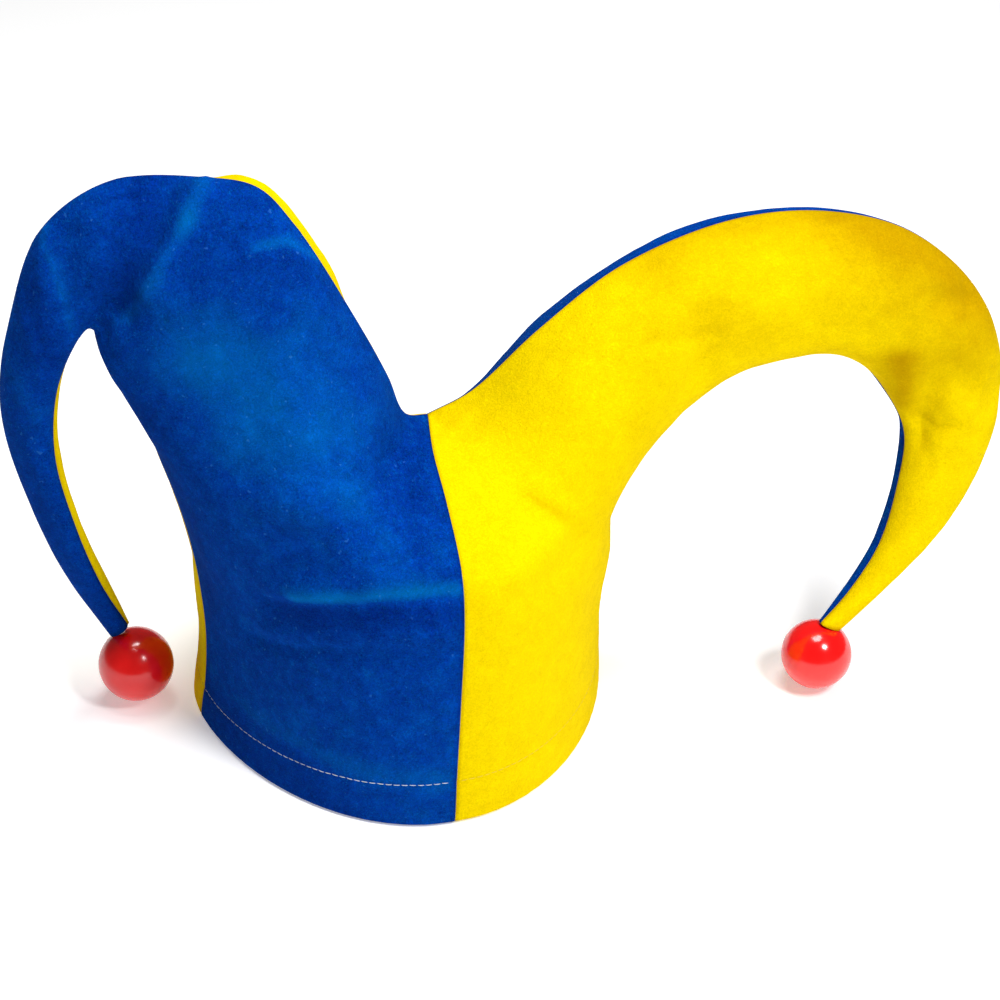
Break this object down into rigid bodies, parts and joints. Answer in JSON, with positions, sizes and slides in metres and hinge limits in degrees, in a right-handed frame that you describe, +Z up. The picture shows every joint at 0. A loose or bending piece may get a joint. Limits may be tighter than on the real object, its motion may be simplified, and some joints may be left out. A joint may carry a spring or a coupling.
{
  "type": "jester hat",
  "caption": "Two-horned felt jester hat in blue and yellow quarters, standing on its rim, its curved horns hanging down at the tips with a red ball on each.",
  "frame": {"origin": "middle of the hat's bounding box, at the floor that the rim stands on", "axes": "+Z up out of the rim, front towards -Y, the taller horn towards -X and the longer one towards +X"},
  "size_m": [0.4344, 0.2084, 0.2662],
  "materials": {
    "felt_blue": "matt fibrous felt",
    "felt_yellow": "matt fibrous felt",
    "ball_red": "glossy"
  },
  "bodies": {
    "root": {"panel_front_left": "felt_blue", "panel_front_right": "felt_yellow", "panel_back_left": "felt_yellow", "panel_back_right": "felt_blue", "ball_left": "ball_red", "ball_right": "ball_red"}
  },
  "joints": []
}
